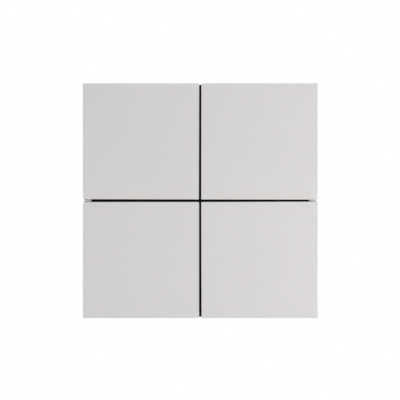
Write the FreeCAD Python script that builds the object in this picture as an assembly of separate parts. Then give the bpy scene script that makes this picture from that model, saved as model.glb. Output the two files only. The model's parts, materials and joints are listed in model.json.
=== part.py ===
import FreeCAD
import Part
import math
import os

Vector = FreeCAD.Vector

# Flush-mounted bus push-button panel: four square keys on a black base, which clips to a steel ring on a
# round wall box. All sizes are in millimetres.
# The wall's surface is the plane y = 0 and the room is at negative y. +X is to the right and +Z is up as the
# panel hangs, and the origin is the middle of the wall box.

# Key plates
panel_side = 81.0
key_gap = 0.72
plate_thickness = 1.6
plate_corner = 0.4
plate_edge_bevel = 0.15
key_travel_deg = 1.5

# Key carriers, behind the plates
carrier_deck = 1.4
carrier_corner = 0.8
carrier_inset = 0.48
skirt_wall = 1.0
skirt_clearance = 0.3
carrier_rib = 0.8
carrier_rib_drop = 0.8
long_rib_offset = 5.0
cross_rib_arms = (7.0, 15.6)

# Base
body_inset = 0.45
base_wall = 1.2
base_corner = 0.8
base_edge_bevel = 0.2
rim_clearance = 0.25
side_clearance = 0.35
deck_thickness = 1.4
back_rib = 0.9
back_rib_drop = 1.0
back_rib_length = 20.0
back_rib_places = (6.0, 24.0)

# Hinges: a pin on each carrier snaps into open bearings on the base
hinge_offset = 4.0
hinge_rise = 1.3
carrier_over_hinge = 1.1
hinge_span = 26.0
pin_radius = 0.8
pin_clearance = 0.05
ear_width = 2.6
ear_tip_width = 1.6
ear_drop = 1.0
ear_thickness = 1.2
ear_clearance = 0.3
bearing_width = 3.4
bearing_wall = 0.95
bearing_lip = 0.55
bearing_lip_wall = 0.5
bridge_width = 1.6
bridge_rise = 0.6

# Stop hooks at the outer side of each carrier
hook_leg = 1.0
hook_width = 5.0
hook_span = 18.0
hook_catch = 0.7
hook_reach = 0.8
hook_play = 0.1
hook_from_skirt = 0.6
hook_nose_depth = 1.2
window_clearance = 0.4
window_end_clearance = 0.3

# Plungers, which pass a key's movement to its switch
plunger_arm = 12.0
plunger_side = 3.2
plunger_rib = 1.2
plunger_nose = 0.35
plunger_clearance = 0.05
plunger_proud = 0.45
plunger_play = 0.05
flange_side = 4.6
flange_height = 0.8
flange_clearance = 0.1
nub_side = 1.6
nub_height = 0.25
sleeve_wall = 0.95
sleeve_rise = 0.8
boss_side = 4.4

# Return leaves, one under each key
leaf_thickness = 0.3
leaf_width = 4.0
leaf_foot = 4.8
leaf_bend = 1.2
leaf_crest_radius = 0.9
leaf_rise_deg = 20.0
leaf_fall_deg = 32.0
leaf_tail = 2.0
leaf_play = 0.03
leaf_from_sleeve = 1.4
stake_side = 1.6
stake_clearance = 0.05
stake_head_side = 2.6
stake_head = 0.5
stake_from_end = 2.2

# Light guides at the two ends of the gap between upper and lower keys
guide_length = 2.4
guide_blade = 0.5
guide_stem = 1.1
guide_body = 3.0
guide_below_face = 0.5
guide_fit = 0.05
guide_cover = 0.5
guide_shift = 1.65
guide_body_height = 0.8
guide_foot_height = 0.8
guide_over_led = 0.2

# Button board and what is on it
board_thickness = 1.2
board_gap = 2.0
board_ring_gap = 0.15
board_clearance = 0.9
ear_half_width = 7.2
ear_short_of_wall = 0.65
led_length = 1.6
led_width = 1.2
led_height = 0.7
switch_side = 5.2
switch_height = 1.2
switch_bore_floor = 0.3
stem_side = 2.0
stem_clearance = 0.05
stem_bottom_clearance = 0.09
cover_thickness = 0.2
cover_hole_margin = 0.15
cover_flap_width = 3.0
cover_flap_drop = 0.8
pad_side = 3.6
pad_inset = 5.5
locating_pin_radius = 0.9
locating_pin_proud = 0.3
hole_clearance = 0.1
passive_size = (1.6, 0.6, 0.8)
passive_pitch = 2.6
passive_row_z = -9.0
passive_columns = 4
passive_side_count = 3

# Programming button, lamp and their holes in the base, reached when the lower right key is off
prog_led_from_pad = 5.5
prog_from_board_edge = 3.5
prog_led_pitch = 5.5
prog_button_radius = 1.2
prog_button_proud = 0.4
prog_button_clearance = 0.1
prog_flange_side = 3.6
prog_flange_height = 0.4
prog_travel = 0.25
prog_led_hole_radius = 1.0

# Steel mounting ring, whose slots take the screws of a wall box with 60 mm between them
ring_inset = 5.0
slot_inset = 5.5
ring_corner = 5.0
ring_thickness = 1.0
window_to_slot = 4.5
ring_window_corner = 2.0
slot_width = 3.8
slot_length = 7.0
bead_width = 1.6
bead_height = 0.25
bead_length = 13.0
bead_from_middle = 17.5
screw_head_room = 8.4

# Snap arms on the base, which catch behind the ring
arm_middle = 10.0
arm_width = 6.0
arm_thickness = 1.2
arm_clearance = 0.3
arm_catch = 0.6
arm_play = 0.05
arm_tip = 1.7
arm_slot_clearance = 0.4

# Rear housing, which goes into the wall box
housing_arm_gap = 0.5
housing_corner = 9.5
housing_wall = 1.6
housing_back_wall = 1.8
housing_depth = 21.0
housing_edge_bevel = 1.0
pillar_in_wall = 0.2
pillar_radius = 3.6
pillar_web = 3.0
counterbore_radius = 2.6
screw_hole_radius = 1.35
vent_count = 5
vent_width = 1.4
vent_length = 8.0
vent_pitch = 3.2
vent_from_front = 5.0

# Screws that hold the housing, the button board and the base together
screw_radius = 1.1
screw_length = 6.2
screw_head_radius = 2.1
screw_head = 1.5
screw_fit = 0.02
recess_width = 0.6
recess_depth = 0.7
post_side = 5.2
post_gap = 0.1
post_bore_past_tip = 0.6
post_hole_clearance = 0.2

# Coupler board inside the rear housing
coupler_front = 8.0
coupler_thickness = 1.2
coupler_margin = 1.4
coupler_past_corner = 3.0
coupler_pillar_gap = 0.6
ledge_side = 2.6
ledge_inset = 3.0
capacitor_radius = 3.15
capacitor_length = 7.8
capacitor_from_pillar = 2.25
capacitor_z = 4.6
controller_size = (7.0, 1.0, 7.0)
controller_place = (-7.0, -5.0)
transceiver_size = (5.0, 1.4, 4.0)
transceiver_place = (6.5, -6.5)
coil_size = (5.0, 2.6, 5.0)
coil_place = (7.0, 3.0)

# Header that joins the two boards
header_rows = 2
header_columns = 5
header_pitch = 2.54
header_inset = 6.5
header_pin = 0.64
header_hole_clearance = 0.08
header_block_height = 5.0
header_block_margin = 1.3
header_pin_depth = 3.4
header_tail = 0.7

# Bus pins and the plug-in terminal with its two poles
bus_pin_radius = 0.5
bus_pin_end_gap = 0.4
pole_width = 5.65
pole_gap = 0.1
pole_height = 10.6
pole_length = 11.4
pole_edge_bevel = 0.4
pocket_clearance = 0.3
pocket_wall = 1.2
pocket_floor = 1.4
pocket_depth = 8.0
pocket_z = -9.0
terminal_seat_gap = 0.1
contact_wall = 0.35
contact_clearance = 0.03
contact_length = 6.8
contact_end_gap = 0.1
wire_entry = 1.5
wire_mouth = 2.2
wire_mouth_depth = 0.8
wire_entry_depth = 6.0
wire_pitch_z = 5.8
wire_pitch_x = 2.6
rail_width = 1.2
rail_height = 0.8
rail_pitch = 8.6
rail_inset = 2.0
rail_clearance = 0.05
probe_slot_width = 2.4
probe_slot_height = 0.9
probe_slot_depth = 2.0

# Places worked out from the sizes above, along x and z
ring_side = panel_side - 2 * ring_inset
wall_screw_pitch = ring_side - 2 * slot_inset
ring_window = wall_screw_pitch - 2 * window_to_slot
key_side = (panel_side - key_gap) / 2
key_middle = (panel_side + key_gap) / 4
base_side = panel_side - 2 * body_inset
base_inside = base_side / 2 - base_wall
carrier_inner = key_gap / 2 + carrier_inset
carrier_outer = base_inside - side_clearance
hook_outer = carrier_outer - skirt_wall - hook_from_skirt
hook_inner = hook_outer - hook_leg
window_inner = hook_inner - hook_reach
window_outer = hook_outer + window_clearance
hook_tip = window_inner - hook_catch
board_half = hook_tip - board_clearance
ear_end = base_inside - ear_short_of_wall
pad_place = board_half - pad_inset
plunger_x = hinge_offset + plunger_arm
leaf_start = plunger_x + plunger_side / 2 + plunger_clearance + sleeve_wall + leaf_from_sleeve
stake_x = leaf_start + stake_from_end
hinge_places = (key_middle - hinge_span / 2, key_middle + hinge_span / 2)
hook_places = (key_middle - hook_span / 2, key_middle + hook_span / 2)
guide_outer = base_side / 2
guide_inner = guide_outer - guide_length
guide_wall = base_inside - guide_fit
guide_foot_x = (guide_inner + guide_wall) / 2 - guide_shift
prog_z = -(board_half - prog_from_board_edge)
prog_led_x = pad_place - prog_led_from_pad
prog_x = prog_led_x - prog_led_pitch
arm_outer = ring_window / 2 - arm_clearance
arm_inner = arm_outer - arm_thickness
arm_nose = ring_window / 2 + arm_catch
housing_side = 2 * (arm_inner - housing_arm_gap)
housing_inside = housing_side / 2 - housing_wall
pillar_x = housing_inside - pillar_radius + pillar_in_wall
coupler_half = housing_inside - coupler_margin
coupler_narrow = coupler_half - (housing_corner - coupler_past_corner)
capacitor_x = pillar_x - pillar_radius - capacitor_radius - capacitor_from_pillar
ledge_x = coupler_narrow - ledge_inset
ledge_z = coupler_half - ledge_inset
header_z = coupler_half - header_inset
pole_pitch = pole_width + pole_gap

# Levels worked out from the sizes above, along y. A pressed key swings in by its travel, which grows with
# the distance from its hinge.
press = math.radians(key_travel_deg)
plunger_travel = press * plunger_arm
ring_front = -ring_thickness - bead_height
board_back = ring_front - board_ring_gap
board_front = board_back - board_thickness
deck_back = board_front - board_gap
deck_front = deck_back - deck_thickness
hinge_y = deck_front - hinge_rise
carrier_back = hinge_y - carrier_over_hinge
plate_back = carrier_back - carrier_deck
plate_front = plate_back - plate_thickness
rim_front = plate_back + press * (panel_side / 2 - hinge_offset) + rim_clearance
skirt_back = deck_front - press * (carrier_outer - hinge_offset) - skirt_clearance
sleeve_front = deck_front - sleeve_rise
plunger_tip = sleeve_front - plunger_proud
boss_back = plunger_tip - plunger_play
flange_front = deck_back - flange_height + flange_clearance / 2
flange_back = flange_front + flange_height
stem_top = flange_back + nub_height
switch_front = board_front - switch_height
stem_bottom = board_front - switch_bore_floor - plunger_travel - stem_bottom_clearance
catch_y = deck_back + hook_play
web_back = board_back + pillar_web
screw_tip = web_back - screw_length
housing_back = housing_depth
coupler_back = coupler_front + coupler_thickness
pocket_y = housing_back - pocket_depth
terminal_front = pocket_y + terminal_seat_gap
terminal_back = terminal_front + pole_length
bus_pin_end = terminal_front + contact_length - bus_pin_end_gap

KEYS = {
    "upper_left": (-1, 1),
    "upper_right": (1, 1),
    "lower_left": (-1, -1),
    "lower_right": (1, -1),
}
SIDES = {"left": -1, "right": 1}
UNITE = 0.2
SAME_PLACE = 1e-6


# Shapes that several pieces use. All of them are set out in the XZ plane and stretch along Y.

def box(x0, x1, y0, y1, z0, z1):
    """Box between two corners."""
    corner = Vector(min(x0, x1), min(y0, y1), min(z0, z1))
    return Part.makeBox(abs(x1 - x0), abs(y1 - y0), abs(z1 - z0), corner)


def rod(x, z, radius, y0, y1):
    """Round bar along Y."""
    return Part.makeCylinder(radius, abs(y1 - y0), Vector(x, min(y0, y1), z), Vector(0, 1, 0))


def rounded_outline(width, height, radius, x=0.0, z=0.0):
    """Rectangle with round corners, as a closed wire in the plane y = 0."""
    half_w = width / 2
    half_h = height / 2
    edges = []
    centres = [(1, 1), (-1, 1), (-1, -1), (1, -1)]
    ends = []
    for n, (sx, sz) in enumerate(centres):
        cx = x + sx * (half_w - radius)
        cz = z + sz * (half_h - radius)
        points = []
        for turn in (0.0, 0.5, 1.0):
            angle = math.pi / 2 * (n + turn)
            points.append(Vector(cx + radius * math.cos(angle), 0, cz + radius * math.sin(angle)))
        edges.append(Part.Arc(*points).toShape())
        ends.append((points[0], points[2]))
    for n in range(4):
        start = ends[n][1]
        end = ends[(n + 1) % 4][0]
        if start.distanceToPoint(end) > SAME_PLACE:
            edges.append(Part.LineSegment(start, end).toShape())
    return Part.Wire(Part.__sortEdges__(edges))


def polygon(points):
    """Closed wire through (x, z) points in the plane y = 0."""
    corners = [Vector(a, 0, b) for a, b in points]
    return Part.makePolygon(corners + corners[:1])


def cut_square(side, cut, x=0.0, z=0.0):
    """Square outline with its four corners cut off; cut is the length taken from each side's end."""
    a = side / 2
    b = a - cut
    corners = [(a, -b), (a, b), (b, a), (-b, a), (-a, b), (-a, -b), (-b, -a), (b, -a)]
    return polygon([(x + u, z + v) for u, v in corners])


def rectangle(width, height, x=0.0, z=0.0):
    """Rectangle outline."""
    half_w = width / 2
    half_h = height / 2
    corners = [(-half_w, -half_h), (half_w, -half_h), (half_w, half_h), (-half_w, half_h)]
    return polygon([(x + u, z + v) for u, v in corners])


def obround(length, width, x, z, upright=False):
    """Slot outline, length over its round ends, along X or, if upright, along Z."""
    if upright:
        return rounded_outline(width, length, width / 2, x, z)
    return rounded_outline(length, width, width / 2, x, z)


def prism(outer, y0, y1, *inner):
    """Solid from an outline in the XZ plane, with any inner outlines open, between two levels of y."""
    face = Part.makeFace([outer, *inner], "Part::FaceMakerBullseye")
    face.translate(Vector(0, min(y0, y1), 0))
    return face.extrude(Vector(0, abs(y1 - y0), 0))


def side_profile(points, z0, z1):
    """Solid from (x, y) points, stretched along Z."""
    corners = [Vector(a, b, min(z0, z1)) for a, b in points]
    face = Part.Face(Part.makePolygon(corners + corners[:1]))
    return face.extrude(Vector(0, 0, abs(z1 - z0)))


def cross_profile(points, x0, x1):
    """Solid from (z, y) points, stretched along X."""
    corners = [Vector(min(x0, x1), b, a) for a, b in points]
    face = Part.Face(Part.makePolygon(corners + corners[:1]))
    return face.extrude(Vector(abs(x1 - x0), 0, 0))


def turned(points, x, z):
    """Solid of revolution about a line along Y, from (radius, y) points."""
    corners = [Vector(x + r, y, z) for r, y in points]
    face = Part.Face(Part.makePolygon(corners + corners[:1]))
    return face.revolve(Vector(x, 0, z), Vector(0, 1, 0), 360)


def mirrored(shape, side_x, side_z):
    """The upper right piece, moved to another quarter of the panel."""
    if side_x < 0:
        shape = shape.mirror(Vector(0, 0, 0), Vector(1, 0, 0))
    if side_z < 0:
        shape = shape.mirror(Vector(0, 0, 0), Vector(0, 0, 1))
    return shape


def four(shape):
    """A piece of the upper right quarter in all four quarters."""
    return [mirrored(shape, side_x, side_z) for side_x, side_z in KEYS.values()]


def block(x, z, side, y0, y1):
    """Square bar along Y."""
    return box(x - side / 2, x + side / 2, y0, y1, z - side / 2, z + side / 2)


def bevelled(shape, y, size):
    """The solid with a bevel along every edge that lies at one level of y."""
    edges = [e for e in shape.Edges if all(abs(v.Y - y) < SAME_PLACE for v in e.Vertexes)]
    return shape.makeChamfer(size, edges)


def united(shape, *others):
    """One solid, with the seams between coplanar faces removed."""
    return shape.multiFuse(list(others)).removeSplitter()


def bent_strip(path, radii, thickness, z0, z1):
    """Sheet strip of even thickness that follows (x, y) points, with a round bend at each inner point."""
    half = thickness / 2
    sides = {half: [], -half: []}
    points = [Vector(a, b, min(z0, z1)) for a, b in path]
    steps = [(b - a).normalize() for a, b in zip(points, points[1:])]
    for offset in sides:
        start = points[0] + Vector(-steps[0].y, steps[0].x, 0) * offset
        for n, radius in enumerate(radii):
            before = steps[n]
            after = steps[n + 1]
            corner = points[n + 1]
            turn = math.atan2(before.cross(after).z, before.dot(after))
            tangent = radius * math.tan(abs(turn) / 2)
            side = math.copysign(1, turn)
            centre = corner - before * tangent + Vector(-before.y, before.x, 0) * radius * side
            outward = (corner - centre).normalize()
            reach = radius - side * offset
            first = corner - before * tangent + Vector(-before.y, before.x, 0) * offset
            last = corner + after * tangent + Vector(-after.y, after.x, 0) * offset
            sides[offset].append(Part.LineSegment(start, first).toShape())
            sides[offset].append(Part.Arc(first, centre + outward * reach, last).toShape())
            start = last
        finish = points[-1] + Vector(-steps[-1].y, steps[-1].x, 0) * offset
        sides[offset].append(Part.LineSegment(start, finish).toShape())
    caps = []
    for place in (0, -1):
        ends = [edges[place].Vertexes[place].Point for edges in sides.values()]
        caps.append(Part.LineSegment(*ends).toShape())
    wire = Part.Wire(Part.__sortEdges__(sides[half] + sides[-half] + caps))
    return Part.Face(wire).extrude(Vector(0, 0, abs(z1 - z0)))


# Keys

def key_plate():
    """Coated plate that the finger presses, with a fine bevel along its front edge."""
    plate = prism(cut_square(key_side, plate_corner, key_middle, key_middle), plate_front, plate_back)
    return bevelled(plate, plate_front, min(plate_edge_bevel, plate_thickness / 2))


def hinge_ears():
    """Two pairs of ears under a carrier, each pair bridged by a hinge pin."""
    near = bearing_width / 2 + ear_clearance
    far = near + ear_thickness
    ear = [
        (hinge_offset - ear_width / 2, carrier_back - UNITE),
        (hinge_offset + ear_width / 2, carrier_back - UNITE),
        (hinge_offset + ear_width / 2, hinge_y),
        (hinge_offset + ear_tip_width / 2, hinge_y + ear_drop),
        (hinge_offset - ear_tip_width / 2, hinge_y + ear_drop),
        (hinge_offset - ear_width / 2, hinge_y),
    ]
    pieces = []
    for place in hinge_places:
        for side in (-1, 1):
            pieces.append(side_profile(ear, place + side * near, place + side * far))
        length = 2 * near + ear_thickness
        start = Vector(hinge_offset, hinge_y, place - length / 2)
        pieces.append(Part.makeCylinder(pin_radius, length, start))
    return pieces


def stop_hooks():
    """Two barbed legs that reach through the base's windows and stop the key's outward swing."""
    lead = catch_y + hook_nose_depth
    leg = [
        (hook_outer, carrier_back - UNITE),
        (hook_outer, lead - hook_leg / 2),
        (hook_outer - hook_leg / 2, lead),
        (hook_inner, lead),
        (hook_tip, catch_y + hook_nose_depth / 4),
        (hook_tip, catch_y),
        (hook_inner, catch_y),
        (hook_inner, carrier_back - UNITE),
    ]
    return [side_profile(leg, z - hook_width / 2, z + hook_width / 2) for z in hook_places]


def key_carrier():
    """Moulded tray behind a key plate: skirt, ribs, hinge pins, stop hooks and the boss over the plunger."""
    span = carrier_outer - carrier_inner
    middle = (carrier_outer + carrier_inner) / 2
    outside = cut_square(span, carrier_corner, middle, middle)
    hollow = span - 2 * skirt_wall
    deck = prism(outside, plate_back, carrier_back)
    skirt = prism(outside, carrier_back - UNITE, skirt_back, rectangle(hollow, hollow, middle, middle))
    rib_back = carrier_back + carrier_rib_drop
    edge = skirt_wall / 2
    ribs = []
    for side in (-1, 1):
        z = key_middle + side * long_rib_offset
        ribs.append(box(carrier_inner + edge, carrier_outer - edge, carrier_back - UNITE, rib_back,
                        z - carrier_rib / 2, z + carrier_rib / 2))
    for arm in cross_rib_arms:
        x = hinge_offset + arm
        ribs.append(box(x - carrier_rib / 2, x + carrier_rib / 2, carrier_back - UNITE, rib_back,
                        carrier_inner + edge, carrier_outer - edge))
    boss = block(plunger_x, key_middle, boss_side, carrier_back - UNITE, boss_back)
    return united(deck, skirt, boss, *ribs, *hinge_ears(), *stop_hooks())


def plunger():
    """Cross-ribbed pin: a narrow nose along Z, a retaining flange and a nub that presses the stem."""
    half = plunger_side / 2
    rib = plunger_rib / 2
    cross = [
        (-half, -rib), (-rib, -rib), (-rib, -half), (rib, -half), (rib, -rib), (half, -rib),
        (half, rib), (rib, rib), (rib, half), (-rib, half), (-rib, rib), (-half, rib),
    ]
    outline = polygon([(plunger_x + x, key_middle + z) for x, z in cross])
    nose = [
        (plunger_x - half, plunger_tip + plunger_nose),
        (plunger_x - rib, plunger_tip),
        (plunger_x + rib, plunger_tip),
        (plunger_x + half, plunger_tip + plunger_nose),
        (plunger_x + half, flange_back),
        (plunger_x - half, flange_back),
    ]
    shaft = prism(outline, plunger_tip, flange_back)
    shaft = shaft.common(side_profile(nose, key_middle - half, key_middle + half))
    flange = block(plunger_x, key_middle, flange_side, flange_front, flange_back)
    nub = block(plunger_x, key_middle, nub_side, flange_front, stem_top)
    return united(shaft, flange, nub)


def return_leaf():
    """Bent steel leaf: its foot is staked to the base and its crest lifts the carrier."""
    rise = math.radians(leaf_rise_deg)
    fall = math.radians(leaf_fall_deg)
    crest_y = carrier_back + leaf_play + leaf_thickness / 2 + leaf_crest_radius
    foot_y = deck_front - leaf_thickness / 2
    top = leaf_crest_radius / math.cos((rise + fall) / 2)
    peak_y = crest_y - top * math.cos((rise - fall) / 2)
    bend_x = leaf_start + leaf_foot
    peak_x = bend_x + (foot_y - peak_y) / math.tan(rise)
    tail = (peak_x + leaf_tail * math.cos(fall), peak_y + leaf_tail * math.sin(fall))
    path = [(leaf_start, foot_y), (bend_x, foot_y), (peak_x, peak_y), tail]
    z0 = key_middle - leaf_width / 2
    strip = bent_strip(path, [leaf_bend, leaf_crest_radius], leaf_thickness, z0, z0 + leaf_width)
    hole = stake_side + 2 * stake_clearance
    return strip.cut(block(stake_x, key_middle, hole, deck_front - 2 * leaf_thickness, deck_front + UNITE))


# Base

def hinge_bearings():
    """Open bearings for one key's hinge pins, with the bridge that ties them to the neighbouring key's."""
    bore = pin_radius + pin_clearance
    outer = bore + bearing_wall
    mouth = hinge_y - bearing_lip
    lip = math.sqrt(bore ** 2 - bearing_lip ** 2) + bearing_lip_wall
    body = [
        (hinge_offset - outer, deck_front + UNITE),
        (hinge_offset + outer, deck_front + UNITE),
        (hinge_offset + outer, hinge_y),
        (hinge_offset + lip, mouth),
        (hinge_offset - lip, mouth),
        (hinge_offset - outer, hinge_y),
    ]
    pieces = []
    cuts = []
    for place in hinge_places:
        low = place - bearing_width / 2
        pieces.append(side_profile(body, low, low + bearing_width))
        pieces.append(box(0, hinge_offset, deck_front + UNITE, deck_front - bridge_rise,
                          place - bridge_width / 2, place + bridge_width / 2))
        cuts.append(Part.makeCylinder(bore, bearing_width, Vector(hinge_offset, hinge_y, low)))
    return pieces, cuts


def base_quarter():
    """What the base carries and leaves open for the upper right key: solids to add and solids to cut."""
    pieces, cuts = hinge_bearings()
    guide = plunger_side + 2 * plunger_clearance
    recess = flange_side + 2 * flange_clearance
    pieces.append(block(plunger_x, key_middle, guide + 2 * sleeve_wall, sleeve_front, deck_front + UNITE))
    cuts.append(block(plunger_x, key_middle, guide, sleeve_front - UNITE, deck_back + UNITE))
    cuts.append(block(plunger_x, key_middle, recess, flange_front - flange_clearance / 2, deck_back + UNITE))
    leaf_top = deck_front - leaf_thickness
    head = leaf_top - leaf_play
    pieces.append(block(stake_x, key_middle, stake_side, head - UNITE, deck_front + UNITE))
    pieces.append(block(stake_x, key_middle, stake_head_side, head - stake_head, head))
    half = hook_width / 2 + window_end_clearance
    for z in hook_places:
        window = (window_inner, window_outer, deck_front - UNITE, deck_back + UNITE, z - half, z + half)
        cuts.append(box(*window))
    pieces.append(block(pad_place, pad_place, pad_side, deck_back - UNITE, board_front))
    arm = [
        (arm_inner, deck_back - UNITE),
        (arm_outer, deck_back - UNITE),
        (arm_outer, arm_play),
        (arm_nose, arm_play),
        (arm_nose, arm_play + arm_catch / 2),
        (arm_outer - arm_thickness / 4, arm_tip),
        (arm_inner, arm_tip),
    ]
    pieces.append(cross_profile(arm, arm_middle - arm_width / 2, arm_middle + arm_width / 2))
    return pieces, cuts


def base_frame():
    """Black moulded base: rim, deck, hinge bearings, plunger sleeves, stakes, board pads and snap arms."""
    inside = rectangle(2 * base_inside, 2 * base_inside)
    rim = prism(cut_square(base_side, base_corner), rim_front, 0)
    rim = bevelled(rim, rim_front, min(base_edge_bevel, base_wall / 3))
    rim = rim.cut(prism(inside, rim_front - UNITE, deck_front))
    rim = rim.cut(prism(inside, deck_back, UNITE))
    pieces, cuts = base_quarter()
    pieces = [copy for piece in pieces for copy in four(piece)]
    cuts = [copy for cut in cuts for copy in four(cut)]
    for side in SIDES.values():
        pieces.append(rod(side * pad_place, side * pad_place, locating_pin_radius, deck_back,
                          board_back + locating_pin_proud))
        pieces.append(block(side * pillar_x, 0, post_side, deck_back - UNITE, board_back - post_gap))
        bore_front = screw_tip - post_bore_past_tip
        cuts.append(rod(side * pillar_x, 0, screw_radius + screw_fit, bore_front, board_back))
        for place in back_rib_places:
            middle = side * place
            pieces.append(box(middle - back_rib / 2, middle + back_rib / 2, deck_back - UNITE,
                              deck_back + back_rib_drop, -back_rib_length / 2, back_rib_length / 2))
        half_body = guide_body / 2 + guide_fit
        half_stem = guide_stem / 2 + guide_fit
        shoulder = deck_front + guide_cover - guide_fit
        toe = guide_inner - guide_shift - guide_fit
        cuts.append(box(side * toe, side * base_inside, shoulder, deck_back + UNITE, -half_body, half_body))
        cuts.append(box(side * (guide_inner - guide_fit), side * base_inside, shoulder, deck_front - UNITE,
                        -half_stem, half_stem))
    button_hole = prog_button_radius + prog_button_clearance
    for x, radius in ((prog_x, button_hole), (prog_led_x, prog_led_hole_radius)):
        cuts.append(rod(x, prog_z, radius, deck_front - UNITE, deck_back + UNITE))
    return united(rim, *pieces).cut(Part.makeCompound(cuts)).removeSplitter()


# Light guides

def light_guide():
    """Frosted guide: foot over the lamp, slanted body behind the deck, stem inside the rim, thin blade."""
    foot = board_front - led_height - guide_over_led
    shoulder = deck_front + guide_cover
    body = [
        (guide_wall, shoulder),
        (guide_wall, shoulder + guide_body_height),
        (guide_wall - guide_shift, foot),
        (guide_inner - guide_shift, foot),
        (guide_inner - guide_shift, foot - guide_foot_height),
        (guide_inner, shoulder),
    ]
    blade_back = rim_front - guide_fit
    half_stem = guide_stem / 2
    half_blade = guide_blade / 2
    return united(
        side_profile(body, -guide_body / 2, guide_body / 2),
        box(guide_inner, guide_wall, shoulder + UNITE, blade_back, -half_stem, half_stem),
        box(guide_inner, guide_outer, blade_back, plate_front + guide_below_face, -half_blade, half_blade),
    )


# Button board

def tact_switch(x, z):
    """Body and steel cover of one switch."""
    half = switch_side / 2
    bore = stem_side + 2 * stem_clearance
    body = block(x, z, switch_side, switch_front, board_front)
    body = body.cut(block(x, z, bore, switch_front - UNITE, board_front - switch_bore_floor))
    top = block(x, z, switch_side, switch_front - cover_thickness, switch_front)
    flaps = []
    for side in (-1, 1):
        near = z + side * half
        far = z + side * (half + cover_thickness)
        flaps.append(box(x - cover_flap_width / 2, x + cover_flap_width / 2, switch_front - cover_thickness,
                         switch_front + cover_flap_drop, near, far))
    opening = stem_side + 2 * cover_hole_margin
    opening = block(x, z, opening, switch_front - 2 * cover_thickness, switch_front + UNITE)
    return body, united(top, *flaps).cut(opening)


def switch_stem():
    """The moving stem inside one switch."""
    return block(plunger_x, key_middle, stem_side, stem_top, stem_bottom)


def header_holes(y0, y1, side):
    """Square holes or pins of the header, between two levels."""
    found = []
    for row in range(header_rows):
        for column in range(header_columns):
            x = (column - (header_columns - 1) / 2) * header_pitch
            z = header_z + (row - (header_rows - 1) / 2) * header_pitch
            found.append(box(x - side / 2, x + side / 2, y0, y1, z - side / 2, z + side / 2))
    return found


def button_board():
    """Board under the keys, with an ear at each side for the side lamps and notches for the wall screws."""
    square = prism(rectangle(2 * board_half, 2 * board_half), board_front, board_back)
    ears = prism(rectangle(2 * ear_end, 2 * ear_half_width), board_front, board_back)
    y0 = board_front - UNITE
    y1 = board_back + UNITE
    half_arm = arm_width / 2 + arm_slot_clearance
    half_pitch = wall_screw_pitch / 2
    cuts = four(box(arm_middle - half_arm, arm_middle + half_arm, y0, y1,
                    arm_inner - arm_slot_clearance, arm_nose + arm_slot_clearance))
    for side in SIDES.values():
        cuts.append(block(side * pillar_x, 0, post_side + 2 * post_hole_clearance, y0, y1))
        cuts.append(rod(side * pad_place, side * pad_place, locating_pin_radius + hole_clearance, y0, y1))
        cuts.append(block(side * half_pitch, 0, screw_head_room, y0, y1))
        cuts.append(block(0, side * half_pitch, screw_head_room, y0, y1))
    cuts += header_holes(y0, y1, header_pin + 2 * header_hole_clearance)
    return united(square, ears).cut(Part.makeCompound(cuts))


def lamp(x, z):
    """Small surface-mounted lamp on the front of the button board."""
    return box(x - led_length / 2, x + led_length / 2, board_front - led_height, board_front,
               z - led_width / 2, z + led_width / 2)


def small_parts():
    """Resistors and capacitors in two rows on the button board and two on the coupler board."""
    length, height, width = passive_size
    pieces = []
    for n in range(passive_columns):
        x = (n - (passive_columns - 1) / 2) * passive_pitch
        for z in (passive_row_z, passive_row_z - passive_pitch):
            pieces.append(box(x - length / 2, x + length / 2, board_front - height, board_front,
                              z - width / 2, z + width / 2))
    for n in range(passive_side_count):
        z = pillar_radius + length / 2 + n * passive_pitch
        for x in (-coupler_narrow - passive_pitch / 2, coupler_narrow + passive_pitch / 2):
            pieces.append(box(x - width / 2, x + width / 2, coupler_front - height, coupler_front,
                              z - length / 2, z + length / 2))
    return Part.makeCompound(pieces)


def programming_button():
    """Small button that puts the device into programming mode, with a flange and a stem into its switch."""
    flange = deck_back + plunger_play
    flange_end = flange + prog_flange_height - prog_travel / 2
    return united(
        rod(prog_x, prog_z, prog_button_radius, deck_front - prog_button_proud, flange + UNITE),
        block(prog_x, prog_z, prog_flange_side, flange, flange_end),
        block(prog_x, prog_z, stem_side, flange, stem_bottom),
    )


# Steel ring

def mounting_ring():
    """Flat steel ring for the wall box, with screw slots and stiffening beads."""
    half_pitch = wall_screw_pitch / 2
    slots = []
    for side in (-1, 1):
        slots.append(obround(slot_length, slot_width, side * half_pitch, 0))
        slots.append(obround(slot_length, slot_width, 0, side * half_pitch, upright=True))
    window = rounded_outline(ring_window, ring_window, ring_window_corner)
    plate = prism(rounded_outline(ring_side, ring_side, ring_corner), -ring_thickness, 0, window, *slots)
    half = bead_width / 2
    crest = half - bead_height
    beads = []
    for side in (-1, 1):
        for way in (-1, 1):
            middle = side * half_pitch
            start = way * bead_from_middle - bead_length / 2
            bead = [
                (middle - half, -ring_thickness),
                (middle - crest, ring_front),
                (middle + crest, ring_front),
                (middle + half, -ring_thickness),
                (middle + half, -ring_thickness / 2),
                (middle - half, -ring_thickness / 2),
            ]
            beads.append(side_profile(bead, start, start + bead_length))
            beads.append(cross_profile(bead, start, start + bead_length))
    return united(plate, *beads)


# Rear housing and what it holds

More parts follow.
